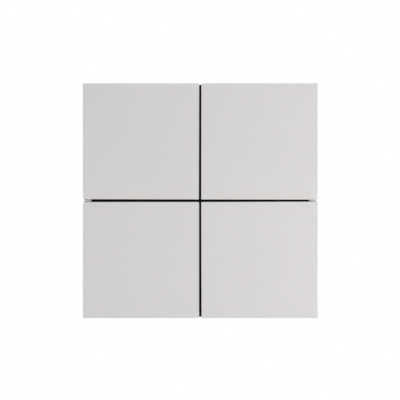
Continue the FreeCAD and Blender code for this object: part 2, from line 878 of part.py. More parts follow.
def rear_housing():
    """Tub that goes into the wall box: screw pillars, vents, ledges and the pocket for the bus terminal."""
    shell = prism(cut_square(housing_side, housing_corner), board_back, housing_back)
    shell = bevelled(shell, housing_back, min(housing_edge_bevel, housing_wall * 0.7))
    inner_corner = housing_corner - housing_wall * (2 - math.sqrt(2))
    inner_back = housing_back - housing_back_wall
    hollow = cut_square(2 * housing_inside, inner_corner)
    shell = shell.cut(prism(hollow, board_back - UNITE, inner_back))
    pocket_width = pole_pitch + pole_width + 2 * pocket_clearance
    pocket_height = pole_height + 2 * pocket_clearance
    outside = rectangle(pocket_width + 2 * pocket_wall, pocket_height + 2 * pocket_wall, 0, pocket_z)
    pieces = [prism(outside, pocket_y - pocket_floor, inner_back + UNITE)]
    pieces += four(block(ledge_x, ledge_z, ledge_side, coupler_back, inner_back + UNITE))
    cuts = [prism(rectangle(pocket_width, pocket_height, 0, pocket_z), pocket_y, housing_back + UNITE)]
    for x in pole_places():
        cuts.append(rod(x, pocket_z, bus_pin_radius, pocket_y - 2 * pocket_floor, pocket_y + UNITE))
    for x in (-pillar_x, pillar_x):
        pieces.append(rod(x, 0, pillar_radius, board_back, inner_back + UNITE))
        cuts.append(rod(x, 0, screw_hole_radius, board_back - UNITE, web_back + UNITE))
        cuts.append(rod(x, 0, counterbore_radius, web_back, housing_back + UNITE))
    for n in range(vent_count):
        x0 = (n - (vent_count - 1) / 2) * vent_pitch - vent_width / 2
        y0 = board_back + vent_from_front
        cuts.append(box(x0, x0 + vent_width, y0, y0 + vent_length, -housing_side, housing_side))
    return united(shell, *pieces).cut(Part.makeCompound(cuts)).removeSplitter()


def housing_screws():
    """Two slotted screws with blunt ends, set in from the back."""
    head_back = web_back + screw_head
    profile = [
        (0, screw_tip),
        (screw_radius, screw_tip),
        (screw_radius, web_back),
        (screw_head_radius, web_back),
        (screw_head_radius, head_back),
        (0, head_back),
    ]
    half_slot = recess_width / 2
    slot = box(0, 2 * pillar_x, head_back - recess_depth, head_back + UNITE, -half_slot, half_slot)
    screw = turned(profile, pillar_x, 0).cut(slot)
    return Part.makeCompound([screw, mirrored(screw, -1, 1)])


def coupler_board():
    """Second board, in the housing, with cut corners and a notch round each screw pillar."""
    tall = prism(rectangle(2 * coupler_narrow, 2 * coupler_half), coupler_front, coupler_back)
    wide = prism(rectangle(2 * coupler_half, 2 * coupler_narrow), coupler_front, coupler_back)
    y0 = coupler_front - UNITE
    y1 = coupler_back + UNITE
    half = pillar_radius + coupler_pillar_gap
    cuts = [rod(x, pocket_z, bus_pin_radius, y0, y1) for x in pole_places()]
    for side in SIDES.values():
        cuts.append(box(side * (pillar_x - half), side * 2 * coupler_half, y0, y1, -half, half))
    return united(tall, wide).cut(Part.makeCompound(cuts))


def storage_capacitors():
    """Two electrolytic cans that carry the device over a dip of the bus voltage."""
    top = coupler_back + capacitor_length
    places = (-capacitor_x, capacitor_x)
    return Part.makeCompound([rod(x, capacitor_z, capacitor_radius, coupler_back, top) for x in places])


def chip(place, width, height, depth):
    """Flat chip on the front of the coupler board."""
    return prism(rectangle(width, depth, *place), coupler_front - height, coupler_front)


def header_block():
    """Socket on the coupler board that takes the header's pins."""
    half_x = (header_columns - 1) / 2 * header_pitch + header_block_margin
    half_z = (header_rows - 1) / 2 * header_pitch + header_block_margin
    front = coupler_front - header_block_height
    socket = box(-half_x, half_x, front, coupler_front, header_z - half_z, header_z + half_z)
    hole = header_pin + 2 * header_hole_clearance
    return socket.cut(Part.makeCompound(header_holes(front - UNITE, front + header_pin_depth + UNITE, hole)))


def header_pins():
    """Pins from the button board into the socket."""
    front = coupler_front - header_block_height
    return Part.makeCompound(header_holes(board_front - header_tail, front + header_pin_depth, header_pin))


# Bus terminal

def pole_places():
    """x of the two poles."""
    return (-pole_pitch / 2, pole_pitch / 2)


def bus_pins():
    """Two round pins from the coupler board, through the pocket's floor, into the terminal."""
    places = pole_places()
    return Part.makeCompound([rod(x, pocket_z, bus_pin_radius, coupler_front, bus_pin_end) for x in places])


def terminal_pole(side):
    """One pole of the plug-in terminal: wire entries behind, a contact in front, rails at the joint."""
    x = side * pole_pitch / 2
    half_w = pole_width / 2
    half_h = pole_height / 2
    edge = pole_edge_bevel
    near = side * (pole_pitch / 2 - half_w)
    far = side * (pole_pitch / 2 + half_w)
    outline = polygon([
        (near, pocket_z - half_h),
        (far - side * edge, pocket_z - half_h),
        (far, pocket_z - half_h + edge),
        (far, pocket_z + half_h - edge),
        (far - side * edge, pocket_z + half_h),
        (near, pocket_z + half_h),
    ])
    body = prism(outline, terminal_front, terminal_back)
    bore = contact_side() + 2 * contact_clearance
    cuts = [block(x, pocket_z, bore, terminal_front - UNITE, terminal_front + contact_length)]
    for across in (-1, 1):
        for up in (-1, 1):
            cuts.append(square_entry(x + across * wire_pitch_x / 2, pocket_z + up * wire_pitch_z / 2))
    probe_slot = rectangle(probe_slot_width, probe_slot_height, x, pocket_z)
    cuts.append(prism(probe_slot, terminal_back - probe_slot_depth, terminal_back + UNITE))
    body = body.cut(Part.makeCompound(cuts))
    joint = -pole_gap / 2
    play = 0.0 if side < 0 else rail_clearance
    rails = []
    for up in (-1, 1):
        z = pocket_z + up * rail_pitch / 2
        half = rail_width / 2 + play
        rails.append(box(joint - UNITE, rail_height - joint + play, terminal_front + rail_inset - play,
                         terminal_back - rail_inset + play, z - half, z + half))
    if side < 0:
        return united(body, *rails)
    return body.cut(Part.makeCompound(rails))


def contact_side():
    """Outside width of a contact sleeve in the terminal."""
    return 2 * (bus_pin_radius + contact_clearance + contact_wall)


def square_entry(x, z):
    """Square wire entry with a funnel mouth, in from the terminal's back."""
    shaft = block(x, z, wire_entry, terminal_back - wire_entry_depth, terminal_back)
    mouth = []
    for side, y in ((wire_entry, terminal_back - wire_mouth_depth), (wire_mouth, terminal_back)):
        ring = rectangle(side, side, x, z)
        ring.translate(Vector(0, y, 0))
        mouth.append(ring)
    return shaft.fuse(Part.makeLoft(mouth, True, True))


def terminal_contact(side):
    """Springy sleeve in one pole that grips its bus pin."""
    x = side * pole_pitch / 2
    end = terminal_front + contact_length - contact_end_gap
    opening = 2 * (bus_pin_radius + contact_clearance)
    return block(x, pocket_z, contact_side(), terminal_front, end).cut(
        block(x, pocket_z, opening, terminal_front - UNITE, terminal_back))


def build():
    """Every piece by node name."""
    parts = {}
    switch, cover = tact_switch(plunger_x, key_middle)
    prog_switch, prog_cover = tact_switch(prog_x, prog_z)
    quarter = {
        "key_plate": key_plate(),
        "key_carrier": key_carrier(),
        "plunger": plunger(),
        "return_leaf": return_leaf(),
        "switch_stem": switch_stem(),
        "switch_body": switch,
    }
    for key, (side_x, side_z) in KEYS.items():
        for name, shape in quarter.items():
            parts[f"{name}_{key}"] = mirrored(shape, side_x, side_z)
    guide = light_guide()
    for name, side in SIDES.items():
        parts[f"light_guide_{name}"] = mirrored(guide, side, 1)
        parts[f"side_lamp_{name}"] = lamp(side * guide_foot_x, 0)
    parts["base_frame"] = base_frame()
    parts["switch_covers"] = Part.makeCompound(four(cover) + [prog_cover])
    parts["button_board"] = button_board()
    parts["small_parts"] = small_parts()
    parts["programming_button"] = programming_button()
    parts["programming_switch"] = prog_switch
    parts["programming_lamp"] = lamp(prog_led_x, prog_z)
    parts["mounting_ring"] = mounting_ring()
    parts["rear_housing"] = rear_housing()
    parts["housing_screws"] = housing_screws()
    parts["coupler_board"] = coupler_board()
    parts["storage_capacitors"] = storage_capacitors()
    parts["supply_coil"] = chip(coil_place, *coil_size)
    parts["controller_chip"] = chip(controller_place, *controller_size)
    parts["transceiver_chip"] = chip(transceiver_place, *transceiver_size)
    parts["header_block"] = header_block()
    parts["header_pins"] = header_pins()
    parts["bus_pins"] = bus_pins()
    for name, side in (("red", -1), ("dark", 1)):
        parts[f"terminal_pole_{name}"] = terminal_pole(side)
        parts[f"terminal_contact_{name}"] = terminal_contact(side)
    return parts


def main():
    os.makedirs("parts", exist_ok=True)
    for name, shape in build().items():
        solids = shape.Solids
        good = bool(solids) and all(s.isValid() and s.Volume > 0 for s in solids)
        print(f"{name}: {len(solids)} solid(s), {shape.Volume:.2f} mm3, {'sound' if good else 'NOT SOUND'}")
        shape.exportStep(f"parts/{name}.step")


main()
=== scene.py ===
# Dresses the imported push-button panel: key plates, light guides, black base, steel ring, rear housing and bus
# terminal get their skins and finishes, and stand in plain soft light, seen straight from the front.
import json
import math

import bmesh
import bpy
import numpy as np
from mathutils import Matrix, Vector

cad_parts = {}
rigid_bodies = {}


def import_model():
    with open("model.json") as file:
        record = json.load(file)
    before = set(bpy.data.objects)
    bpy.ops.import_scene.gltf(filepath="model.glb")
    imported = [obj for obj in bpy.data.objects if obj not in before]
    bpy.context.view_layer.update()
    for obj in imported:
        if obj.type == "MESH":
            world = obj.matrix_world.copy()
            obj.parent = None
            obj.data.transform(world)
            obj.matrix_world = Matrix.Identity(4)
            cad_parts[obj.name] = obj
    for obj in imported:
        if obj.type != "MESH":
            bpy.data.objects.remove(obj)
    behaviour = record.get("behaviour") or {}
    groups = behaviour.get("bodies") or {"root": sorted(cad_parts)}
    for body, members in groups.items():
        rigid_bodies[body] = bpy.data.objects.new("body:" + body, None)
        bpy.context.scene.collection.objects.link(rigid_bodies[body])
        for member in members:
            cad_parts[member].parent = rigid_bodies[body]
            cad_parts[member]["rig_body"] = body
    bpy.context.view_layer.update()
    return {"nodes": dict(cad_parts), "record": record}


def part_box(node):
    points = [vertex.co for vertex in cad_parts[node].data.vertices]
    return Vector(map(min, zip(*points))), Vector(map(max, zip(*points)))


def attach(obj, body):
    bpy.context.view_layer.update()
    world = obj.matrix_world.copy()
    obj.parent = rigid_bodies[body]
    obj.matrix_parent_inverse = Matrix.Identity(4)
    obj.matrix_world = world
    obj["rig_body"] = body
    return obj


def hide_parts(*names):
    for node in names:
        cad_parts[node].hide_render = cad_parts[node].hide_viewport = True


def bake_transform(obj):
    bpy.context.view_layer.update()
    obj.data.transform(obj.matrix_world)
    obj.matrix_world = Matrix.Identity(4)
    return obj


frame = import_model()

mm = 0.001                                  # sizes are in millimetres where no note says otherwise
corners = {"upper_left": (-1, 1), "upper_right": (1, 1), "lower_left": (-1, -1), "lower_right": (1, -1)}
slotOf = {part["node"]: part["material_slot"] for part in frame["record"]["subparts"]}


# A wire is one output of a node. Sums and products of wires add their Math nodes to the same tree.
class Wire:
    def __init__(self, tree, socket=None):
        self.tree = tree
        self.socket = socket

    # any other node: its type, its settings, then a value or a wire for each of its sockets
    def node(self, kind, settings=None, sockets=None, output=0):
        made = self.tree.nodes.new("ShaderNode" + kind)
        for name, value in (settings or {}).items():
            setattr(made, name, value)
        for name, value in (sockets or {}).items():
            if isinstance(value, Wire):
                self.tree.links.new(value.socket, made.inputs[name])
            else:
                made.inputs[name].default_value = value
        return Wire(self.tree, made.outputs[output] if made.outputs else None)

    # another output of the node that this wire comes from
    def beside(self, output):
        return Wire(self.tree, self.socket.node.outputs[output])

    def maths(self, operation, first, second=0.0, clamp=False):
        return self.node("Math", {"operation": operation, "use_clamp": clamp}, {0: first, 1: second})

    def __add__(self, other):
        return self.maths("ADD", self, other)

    def __radd__(self, other):
        return self.maths("ADD", other, self)

    def __sub__(self, other):
        return self.maths("SUBTRACT", self, other)

    def __rsub__(self, other):
        return self.maths("SUBTRACT", other, self)

    def __mul__(self, other):
        return self.maths("MULTIPLY", self, other)

    def __rmul__(self, other):
        return self.maths("MULTIPLY", other, self)

    def __truediv__(self, other):
        return self.maths("DIVIDE", self, other)

    def __abs__(self):
        return self.maths("ABSOLUTE", self)

    def over(self, level):
        return self.maths("GREATER_THAN", self, level)

    def under(self, level):
        return self.maths("LESS_THAN", self, level)

    def fraction(self):
        return self.maths("FRACT", self)

    def clipped(self):
        return self.maths("ADD", self, clamp=True)


def newFinish(name):
    material = bpy.data.materials.new(name)
    material.use_nodes = True
    material.node_tree.nodes.clear()
    return material, Wire(material.node_tree)


def objectPlace(tree, scale=(1, 1, 1)):
    place = tree.node("TexCoord", output="Object")
    if scale == (1, 1, 1):
        return place
    return tree.node("Mapping", {"vector_type": "POINT"}, {"Vector": place, "Scale": scale})


noiseMiddle = 0.5


# noise between 0 and 1 whose lumps are about as wide as the grain
def grainOf(tree, place, grain, detail=2.0, roughness=0.5):
    values = {"Vector": place, "Scale": 1 / (grain * mm), "Detail": detail, "Roughness": roughness}
    return tree.node("TexNoise", {"noise_dimensions": "3D"}, values)


def cellsOf(tree, place, cell, distance="EUCLIDEAN", output="Distance"):
    settings = {"feature": "F1", "distance": distance}
    return tree.node("TexVoronoi", settings, {"Vector": place, "Scale": 1 / (cell * mm)}, output)


# one grey level for each cell
def cellTones(tree, place, cell, distance="EUCLIDEAN"):
    return tree.node("RGBToBW", {}, {"Color": cellsOf(tree, place, cell, distance, "Color")})


# From the first colour to the second one as the mask goes from 0 to 1. 6, 7 and 2 are the colour sockets.
def blended(tree, mask, first, second):
    colours = {6: first, 7: second}
    sockets = {n: colour if isinstance(colour, Wire) else (*colour, 1) for n, colour in colours.items()}
    return tree.node("Mix", {"data_type": "RGBA"}, {0: mask, **sockets}, 2)


def shaded(colour, factor):
    return tuple(min(1.0, channel * factor) for channel in colour)


def bumped(tree, height, relief):
    return tree.node("Bump", {}, {"Height": height, "Distance": relief * mm, "Strength": 1.0})


shaderSockets = {
    "colour": "Base Color", "roughness": "Roughness", "metallic": "Metallic", "normal": "Normal",
    "specular": "Specular IOR Level", "scatter": "Subsurface Weight", "scatterScale": "Subsurface Scale",
    "scatterRadius": "Subsurface Radius",
}


# the closing shader: plain numbers are set on its sockets, wires are linked
def closeFinish(tree, **values):
    shader = tree.node("BsdfPrincipled", {}, {shaderSockets[name]: value for name, value in values.items()})
    tree.node("OutputMaterial", {}, {"Surface": shader})


moulded = {
    "fineShare": 0.6,                       # of the fine grain in the tone, the rest is the broad clouds'
    "toneFrom": 0.2, "toneSpan": 0.6,       # that noise's level of the darker tone, and the step to the paler
    "polishWaver": 0.12,
}


# Matte moulding: the fine grain stands up by the relief, and the tone wavers by the given share each way.
def mouldedFinish(name, colour, grain, relief, roughness, waver, gloss=0.5, cloud=6.0):
    material, tree = newFinish(name)
    place = objectPlace(tree)
    fine = grainOf(tree, place, grain, roughness=0.6)
    broad = grainOf(tree, place, cloud, detail=3.0, roughness=0.55)
    mix = fine * moulded["fineShare"] + broad * (1 - moulded["fineShare"])
    mask = ((mix - moulded["toneFrom"]) / moulded["toneSpan"]).clipped()
    tone = blended(tree, mask, shaded(colour, 1 - waver), shaded(colour, 1 + waver))
    polish = roughness + (broad - noiseMiddle) * moulded["polishWaver"]
    closeFinish(tree, colour=tone, roughness=polish.clipped(), specular=gloss,
                normal=bumped(tree, fine, relief))
    return material


zincSheet = {
    "colour": (0.58, 0.59, 0.60), "waver": 0.1,
    "flower": 2.2, "cloudFlowers": 2.5,     # a flower's width, and a cloud's in flowers
    "streak": 0.12, "fineStreaks": 2,       # a streak's width, and the fine grain's in streaks
    "drawn": 0.02,                          # how little the streaks change along z
    "flowerShare": 0.35, "streakShare": 0.25, "fineShare": 0.15, "cloudShare": 0.25,
    "roughness": 0.34, "flowerPolish": 0.08, "streakPolish": 0.12,
    "relief": 0.01,
}


# rolled sheet: long faint streaks one way, over soft zinc flowers
def sheetFinish(name, look):
    material, tree = newFinish(name)
    place = objectPlace(tree)
    streaks = grainOf(tree, objectPlace(tree, (1, 1, look["drawn"])), look["streak"], roughness=0.7)
    flowers = cellTones(tree, place, look["flower"])
    fine = grainOf(tree, place, look["streak"] * look["fineStreaks"], detail=3.0, roughness=0.6)
    clouds = grainOf(tree, place, look["flower"] * look["cloudFlowers"])
    mix = flowers * look["flowerShare"] + streaks * look["streakShare"]
    mix = mix + fine * look["fineShare"] + clouds * look["cloudShare"]
    colour, waver = look["colour"], look["waver"]
    tone = blended(tree, mix.clipped(), shaded(colour, 1 - waver), shaded(colour, 1 + waver))
    polish = look["roughness"] + (flowers - noiseMiddle) * look["flowerPolish"]
    polish = polish + (streaks - noiseMiddle) * look["streakPolish"]
    closeFinish(tree, colour=tone, metallic=1.0, roughness=polish.clipped(),
                normal=bumped(tree, (streaks + fine) / 2, look["relief"]))
    return material


greenBoard = {
    "lacquer": (0.02, 0.11, 0.045), "track": (0.05, 0.2, 0.085), "tin": (0.6, 0.6, 0.58),
    "pitch": 0.8, "trackFrom": 0.62,        # of each pitch, the share from there on is a track
    "blockPitches": 5, "uprightFrom": 0.45, # a block's side, and the tone from which it is upright
    "padPitches": 3, "padReach": 0.13, "padMetal": 0.8,
    "grain": 1.2, "roughness": 0.34, "polishWaver": 0.12,
    "trackShare": 0.7, "relief": 0.03,      # of the relief, the rest is the grain's
}


# Green lacquered board: tracks show through the lacquer as paler lines, with bare tinned pads between. In an
# upright block the tracks run along z, in the others along x.
def boardFinish(name, look):
    material, tree = newFinish(name)
    place = objectPlace(tree)
    pitch = look["pitch"]
    fine = grainOf(tree, place, look["grain"])
    blocks = cellTones(tree, place, pitch * look["blockPitches"], "CHEBYCHEV")
    split = tree.node("SeparateXYZ", {}, {"Vector": place})
    across = (split / (pitch * mm)).fraction().over(look["trackFrom"])
    upward = (split.beside("Z") / (pitch * mm)).fraction().over(look["trackFrom"])
    way = blocks.over(look["uprightFrom"])
    tracks = across * way + upward * (1 - way)
    pads = cellsOf(tree, place, pitch * look["padPitches"]).under(look["padReach"])
    tone = blended(tree, tracks.clipped(), look["lacquer"], look["track"])
    tone = blended(tree, pads, tone, look["tin"])
    polish = look["roughness"] + fine * look["polishWaver"]
    height = tracks * look["trackShare"] + fine * (1 - look["trackShare"])
    closeFinish(tree, colour=tone, roughness=polish.clipped(), metallic=pads * look["padMetal"],
                normal=bumped(tree, height, look["relief"]))
    return material


guideLook = {
    "colour": (0.595, 0.585, 0.575),
    "paintedShadeShare": 0.62,                      # of that colour at the inner end: painted shade, where the gap between the plates shades the guide
    "paintedShadeEnd": 37.6, "unshadedEnd": 40.2,       # from the panel's middle: where the painted shade is full, and where it has faded out
    "grain": 0.2, "cloud": 2.0, "fineShare": 0.4, "waver": 0.2,
    "roughness": 0.42, "polishWaver": 0.2, "relief": 0.01,
    "scatter": 0.3, "scatterReach": 0.5,
}


# soft milky light guide: frosted, with painted shade that darkens it towards the panel's middle, deep in the
# gap
def guideFinish(name, look):
    material, tree = newFinish(name)
    place = objectPlace(tree)
    fine = grainOf(tree, place, look["grain"], roughness=0.6)
    broad = grainOf(tree, place, look["cloud"])
    away = abs(tree.node("SeparateXYZ", {}, {"Vector": place}))
    # painted shade: 0 at the inner end, where the gap shades the guide, rising to 1 at the outer end
    outwards = (away - look["paintedShadeEnd"] * mm) / ((look["unshadedEnd"] - look["paintedShadeEnd"]) * mm)
    waver = (fine * look["fineShare"] + broad * (1 - look["fineShare"]) - noiseMiddle) * look["waver"]
    colour = look["colour"]
    tone = blended(tree, (outwards + waver).clipped(), shaded(colour, look["paintedShadeShare"]), colour)
    polish = look["roughness"] + fine * look["polishWaver"]
    closeFinish(tree, colour=tone, roughness=polish.clipped(), normal=bumped(tree, fine, look["relief"]),
                scatter=look["scatter"], scatterScale=look["scatterReach"] * mm, scatterRadius=[1, 1, 1])
    return material


drawn = {"lineShare": 0.6, "dark": 0.88, "pale": 1.08, "polishWaver": 0.2, "relief": 0.008, "cloudStreaks": 8}


# turned or drawn metal with fine lines, stretched along the axis whose scale is small
def drawnFinish(name, colour, streak, roughness, stretch=(1, 0.03, 1)):
    material, tree = newFinish(name)
    lines = grainOf(tree, objectPlace(tree, stretch), streak, roughness=0.7)
    broad = grainOf(tree, objectPlace(tree), streak * drawn["cloudStreaks"])
    mix = lines * drawn["lineShare"] + broad * (1 - drawn["lineShare"])
    tone = blended(tree, mix.clipped(), shaded(colour, drawn["dark"]), shaded(colour, drawn["pale"]))
    polish = roughness + (lines - noiseMiddle) * drawn["polishWaver"]
    closeFinish(tree, colour=tone, metallic=1.0, roughness=polish.clipped(),
                normal=bumped(tree, lines, drawn["relief"]))
    return material


finishes = {
    "key_face": mouldedFinish("keyFace", (0.665, 0.65, 0.64), grain=0.22, relief=0.012, roughness=0.62,
                              waver=0.012, gloss=0.35, cloud=12.0),
    "black_moulding": mouldedFinish("blackMoulding", (0.0085, 0.0085, 0.009), grain=0.16, relief=0.03,
                                    roughness=0.6, waver=0.12, gloss=0.16),
    "white_moulding": mouldedFinish("whiteMoulding", (0.75, 0.75, 0.73), grain=0.3, relief=0.008,
                                    roughness=0.45, waver=0.02),
    "switch_stem": mouldedFinish("stemBlack", (0.02, 0.02, 0.02), grain=0.2, relief=0.008, roughness=0.45,
                                 waver=0.1),
    "spring_steel": drawnFinish("springSteel", (0.6, 0.6, 0.6), streak=0.08, roughness=0.28,
                                stretch=(0.04, 1, 1)),
    "switch_black": mouldedFinish("switchBlack", (0.015, 0.015, 0.015), grain=0.15, relief=0.012,
                                  roughness=0.5, waver=0.1),
    "light_guide": guideFinish("lightGuide", guideLook),
    "lamp": mouldedFinish("lampLens", (0.8, 0.79, 0.7), grain=0.3, relief=0.002, roughness=0.2, waver=0.03),
    "lamp_red": mouldedFinish("redLamp", (0.5, 0.06, 0.04), grain=0.3, relief=0.002, roughness=0.2,
                              waver=0.06),
    "board_green": boardFinish("greenBoard", greenBoard),
    "chip_black": mouldedFinish("chipBlack", (0.02, 0.02, 0.022), grain=0.12, relief=0.012, roughness=0.5,
                                waver=0.1),
    "button_white": mouldedFinish("buttonWhite", (0.7, 0.7, 0.68), grain=0.2, relief=0.006, roughness=0.4,
                                  waver=0.02),
    "zinc_steel": sheetFinish("zincSteel", zincSheet),
    "grey_moulding": mouldedFinish("greyMoulding", (0.022, 0.023, 0.025), grain=0.22, relief=0.04,
                                   roughness=0.56, waver=0.1, gloss=0.3),
    "aluminium_can": drawnFinish("aluminiumCan", (0.7, 0.7, 0.71), streak=0.1, roughness=0.3),
    "brass": drawnFinish("goldPins", (0.75, 0.56, 0.25), streak=0.06, roughness=0.22),
    "tin_plated": drawnFinish("tinPlated", (0.62, 0.61, 0.58), streak=0.08, roughness=0.3),
    "red_moulding": mouldedFinish("redMoulding", (0.55, 0.02, 0.015), grain=0.3, relief=0.01, roughness=0.38,
                                  waver=0.04),
    "dark_grey_moulding": mouldedFinish("darkGreyMoulding", (0.06, 0.063, 0.068), grain=0.3, relief=0.01,
                                        roughness=0.38, waver=0.06),
}
for name, node in frame["nodes"].items():
    node.data.materials.clear()
    node.data.materials.append(finishes[slotOf[name]])
print("finishes:", len(finishes))


def linkedObject(name, data):
    made = bpy.data.objects.new(name, data)
    bpy.context.scene.collection.objects.link(made)
    return made


def shadeSmooth(mesh, smooth):
    mesh.polygons.foreach_set("use_smooth", np.full(len(mesh.polygons), smooth))


# One piece from its points and faces, with its finish, riding on the body of the node that it belongs to.
def addPiece(name, points, faces, node, replaces=(), smooth=True, slot=None):
    mesh = bpy.data.meshes.new(name)
    mesh.from_pydata(points.tolist(), [], faces)
    work = bmesh.new()
    work.from_mesh(mesh)
    bmesh.ops.recalc_face_normals(work, faces=work.faces)
    work.to_mesh(mesh)
    work.free()
    shadeSmooth(mesh, smooth)
    piece = linkedObject(name, mesh)
    slot = slot or slotOf[node]
    mesh.materials.append(finishes[slot])
    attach(piece, frame["nodes"][node]["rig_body"])
    if replaces:
        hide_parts(*replaces)


# Faces of a skin whose rows are closed loops of equal length: each row joins the next. Then a flat face shuts
# both ends, or the last row joins the first one where the skin is a ring.
def skinFaces(rows, around, ring=False):
    i = np.arange(rows if ring else rows - 1)[:, None]
    j = np.arange(around)[None, :]
    k = (j + 1) % around
    here, there = i * around, (i + 1) % rows * around
    quads = np.stack([here + j, here + k, there + k, there + j], -1).reshape(-1, 4).tolist()
    if ring:
        return quads
    return quads + [list(range(around))[::-1], list(range((rows - 1) * around, rows * around))]


slab = {"leastBend": 0.02, "cornerSteps": 7, "edgeSteps": 5}    # leastBend is the smallest corner radius


# Slab along y with round corners and worked edges. A row is a pair (inset, y): its loop is the outline moved
# inwards by the inset, four quarter circles joined by straight sides, and the corner radius shrinks with it.
def slabSkin(halfWidth, halfHeight, radius, rows, middle=(0.0, 0.0), steps=slab["cornerSteps"]):
    inset, depth = np.array(rows).T[:, :, None]
    quarter = np.repeat(np.arange(4), steps)[None, :]
    turn = np.tile(np.linspace(0, math.pi / 2, steps), 4)[None, :] + quarter * math.pi / 2
    signX = np.where((quarter == 0) | (quarter == 3), 1, -1)
    signZ = np.where(quarter < 2, 1, -1)
    bend = np.maximum(radius - inset, slab["leastBend"] * mm)
    x = middle[0] + signX * (halfWidth - inset - bend) + bend * np.cos(turn)
    z = middle[1] + signZ * (halfHeight - inset - bend) + bend * np.sin(turn)
    points = np.stack([x, np.broadcast_to(depth, x.shape), z], -1)
    return points.reshape(-1, 3), skinFaces(len(rows), 4 * steps)


# Rows of a round edge of the given radius between a side and a face: a quarter circle in equal turns.
def roundedEdge(radius, y, inward):
    turn = np.linspace(0, math.pi / 2, slab["edgeSteps"])
    return [(radius * (1 - math.cos(a)), y + inward * radius * (1 - math.sin(a))) for a in turn]


# several skins as one: their points one after another, and their faces counted on
def joined(skins):
    starts = np.cumsum([0] + [len(points) for points, _ in skins])
    points = np.concatenate([points for points, _ in skins])
    counted = [[corner + int(first) for corner in face]
               for (_, faces), first in zip(skins, starts) for face in faces]
    return points, counted


# copies of one skin, each moved to its place
def scattered(points, faces, places):
    return joined([(points + np.array(place), faces) for place in places])


# a place in the upper right quarter and its mirror images in the other three, as (x, level, z)
def mirroredPlaces(places, level=0.0):
    quarters = [(sideX * mm, sideZ * mm) for sideX in (-1, 1) for sideZ in (-1, 1)]
    return [(x * scaleX, level, z * scaleZ) for scaleX, scaleZ in quarters for x, z in places]


plates = {
    "corner": 0.27, "frontEdge": 0.09, "backEdge": 0.1,     # radii
    "flatMargin": 0.25,                     # a row of points that far from each edge keeps the faces flat
    # each arm of the cross: its width and its middle's place
    "above": (0.78, -0.04), "below": (0.8, -0.02), "left": (0.92, 0.04), "right": (0.8, 0.03),
    # how far each key has turned in its own plane, in milliradians
    "turn": {"upper_left": -2.6, "upper_right": -1.2, "lower_left": 0.0, "lower_right": 2.7},
}


# A key sits in its bearings with a little play. A point moves square to its way from the key's middle, by the
# turn times that way, and by a share of it that falls from 1 at the inner side to 0 at the outer one.
def turnInnerSides(points, middle, half, sides, turn):
    away = points[:, [0, 2]] - np.array(middle)
    share = (1 - np.array(sides) * away / np.array(half)) / 2
    points[:, 0] -= turn * away[:, 1] * share[:, 0]
    points[:, 2] += turn * away[:, 0] * share[:, 1]


def makePlates():
    front, back, margin = [plates[key] * mm for key in ("frontEdge", "backEdge", "flatMargin")]
    for corner, (sideX, sideZ) in corners.items():
        node = "key_plate_" + corner
        low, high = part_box(node)
        outerX, outerZ = max(abs(low.x), abs(high.x)), max(abs(low.z), abs(high.z))
        wideX, placeX = plates["above" if sideZ > 0 else "below"]
        wideZ, placeZ = plates["right" if sideX > 0 else "left"]
        innerX, innerZ = (wideX / 2 + sideX * placeX) * mm, (wideZ / 2 + sideZ * placeZ) * mm
        half = (outerX - innerX) / 2, (outerZ - innerZ) / 2
        middle = sideX * (outerX + innerX) / 2, sideZ * (outerZ + innerZ) / 2
        rows = [(back + margin, high.y)]
        rows += roundedEdge(back, high.y, -1)[::-1]
        rows += roundedEdge(front, low.y, 1)
        rows += [(front + margin, low.y)]
        points, faces = slabSkin(*half, plates["corner"] * mm, rows, middle)
        turnInnerSides(points, middle, half, (sideX, sideZ), plates["turn"][corner] * mm)
        addPiece("keyPlate_" + corner, points, faces, node, [node])
    print("key plates:", len(corners))


mergeReach = 0.002


# A copy of a CAD piece with its doubles merged, standing for it.
def mergedCopy(node, name):
    work = bmesh.new()
    work.from_mesh(frame["nodes"][node].data)
    bmesh.ops.remove_doubles(work, verts=work.verts, dist=mergeReach * mm)
    mesh = bpy.data.meshes.new(name)
    work.to_mesh(mesh)
    work.free()
    mesh.materials.append(finishes[slotOf[node]])
    piece = linkedObject(name, mesh)
    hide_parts(node)
    return piece


softened = {
    "widths": {
        "base_frame": 0.08, "rear_housing": 0.12, "mounting_ring": 0.08, "housing_screws": 0.06,
        "terminal_pole_red": 0.1, "terminal_pole_dark": 0.1,
        "light_guide_left": 0.04, "light_guide_right": 0.04,
    },
    "segments": 2, "sharpFrom": 32.0,       # edges bent by more degrees than that are rounded
}


# The merged copy's sharp edges are rounded off by the given width.
def softenedCopy(node, width):
    piece = mergedCopy(node, node + "_skin")
    shadeSmooth(piece.data, True)
    edges = piece.modifiers.new("edges", "BEVEL")
    edges.width = width * mm
    edges.segments = softened["segments"]
    edges.limit_method = "ANGLE"
    edges.angle_limit = math.radians(softened["sharpFrom"])
    edges.use_clamp_overlap = False
    edges.miter_outer = "MITER_ARC"
    weighted = piece.modifiers.new("shading", "WEIGHTED_NORMAL")
    weighted.keep_sharp = True
    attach(piece, frame["nodes"][node]["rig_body"])
    return piece


guideBlades = {
    "solid": 0.25, "slack": 0.01,           # half of the solid blade's thickness, and room for rounding
    "left": (0.38, 0.06), "right": (0.33, 0.035),           # half of the new thickness, and the gap's middle
}


# The blade fills more of the gap: its points, the nearest ones to the middle plane, move outwards.
def thickenBlade(piece, side):
    half, rise = guideBlades[side]
    points = np.empty(len(piece.data.vertices) * 3)
    piece.data.vertices.foreach_get("co", points)
    height = points[2::3]
    blade = np.abs(height) < (guideBlades["solid"] + guideBlades["slack"]) * mm
    points[2::3] = np.where(blade, (np.sign(height) * half + rise) * mm, height)
    piece.data.vertices.foreach_set("co", points)
    piece.data.update()


def softenPieces():
    for node, width in softened["widths"].items():
        piece = softenedCopy(node, width)
        if node.startswith("light_guide"):
            thickenBlade(piece, node.split("_")[-1])
    print("softened pieces:", len(softened["widths"]))


